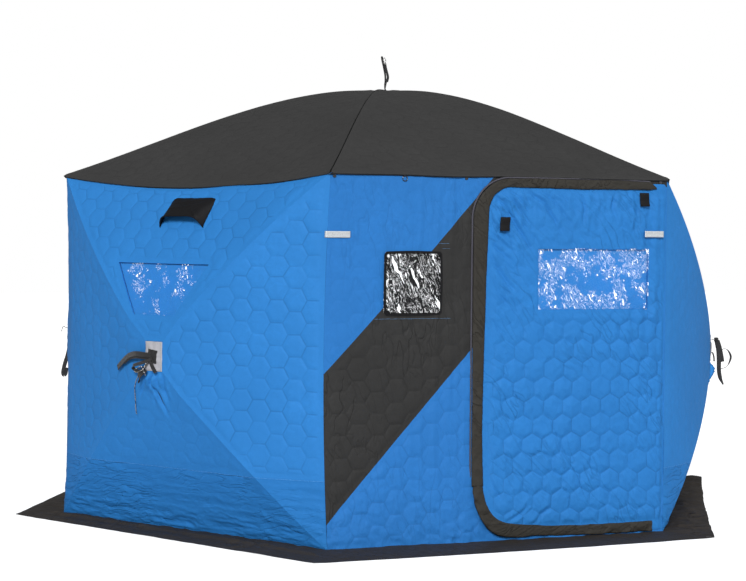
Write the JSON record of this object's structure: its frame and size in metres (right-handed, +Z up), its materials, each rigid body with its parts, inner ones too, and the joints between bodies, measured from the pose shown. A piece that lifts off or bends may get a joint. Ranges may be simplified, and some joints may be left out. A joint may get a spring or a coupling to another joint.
{
  "type": "six-sided pop-up ice fishing hut",
  "caption": "Six-sided insulated pop-up fishing shelter with sprung hub walls, a domed roof, a ground skirt, clear windows and a D-shaped fabric door that swings outward.",
  "frame": {"origin": "centre of the floor, at ground level", "axes": "+Z up, -Y out through the door wall, +X to the right seen from outside the door"},
  "size_m": [3.943, 3.4152, 2.2803],
  "materials": {
    "blue_quilt": "quilted polyester, soft sheen",
    "charcoal_quilt": "quilted polyester, matt",
    "clear_vinyl": "clear crinkled vinyl",
    "grey_patch": "woven reflective patch",
    "moulded_plastic": "moulded nylon",
    "glass_fibre_rod": "smooth rod",
    "skirt_cloth": "coated cloth",
    "blue_cover": "plain polyester",
    "black_cloth": "plain polyester",
    "webbing": "woven webbing",
    "cord": "braided cord",
    "reflective_tape": "reflective tape",
    "nickel": "polished",
    "flap_cloth": "coated cloth, creased"
  },
  "bodies": {
    "shelter": {"front_wall_upper": "blue_quilt", "front_wall_diagonal": "charcoal_quilt", "front_wall_lower": "blue_quilt", "front_wall_header": "charcoal_quilt", "front_wall_jamb": "blue_quilt", "front_wall_sill": "blue_quilt", "wall_front_right": "blue_quilt", "wall_rear_right": "blue_quilt", "wall_rear": "blue_quilt", "wall_rear_left": "blue_quilt", "wall_front_left": "blue_quilt", "roof_front": "charcoal_quilt", "roof_front_right": "charcoal_quilt", "roof_rear_right": "charcoal_quilt", "roof_rear": "charcoal_quilt", "roof_rear_left": "charcoal_quilt", "roof_front_left": "charcoal_quilt", "roof_patch": "grey_patch", "roof_hub": "moulded_plastic", "roof_poles": "glass_fibre_rod", "wall_hubs": "moulded_plastic", "wall_poles": "glass_fibre_rod", "corner_pockets": "black_cloth", "hub_patches": "grey_patch", "skirt": "skirt_cloth", "wall_window_panes": "clear_vinyl", "wall_window_covers": "blue_cover", "vent_hoods": "black_cloth", "front_window_pane": "clear_vinyl", "front_window_frame": "black_cloth", "front_window_cover": "black_cloth", "wall_pull_straps": "webbing", "roof_pull_strap": "webbing", "hub_cord": "cord", "reflector": "reflective_tape", "eave_snaps": "nickel", "eave_ring": "nickel"},
    "door": {"door_panel": "blue_quilt", "door_window_pane": "clear_vinyl", "door_window_cover": "blue_cover", "door_side_flap": "flap_cloth", "door_foot_flap": "flap_cloth", "door_ties": "webbing", "door_reflector": "reflective_tape"}
  },
  "joints": [
    {"name": "door_hinge", "type": "hinge", "parent": "shelter", "child": "door", "pos_m": [0.8145, -1.446, 0.8], "axis": [0, 0, 1], "range_deg": [0, 120]}
  ]
}
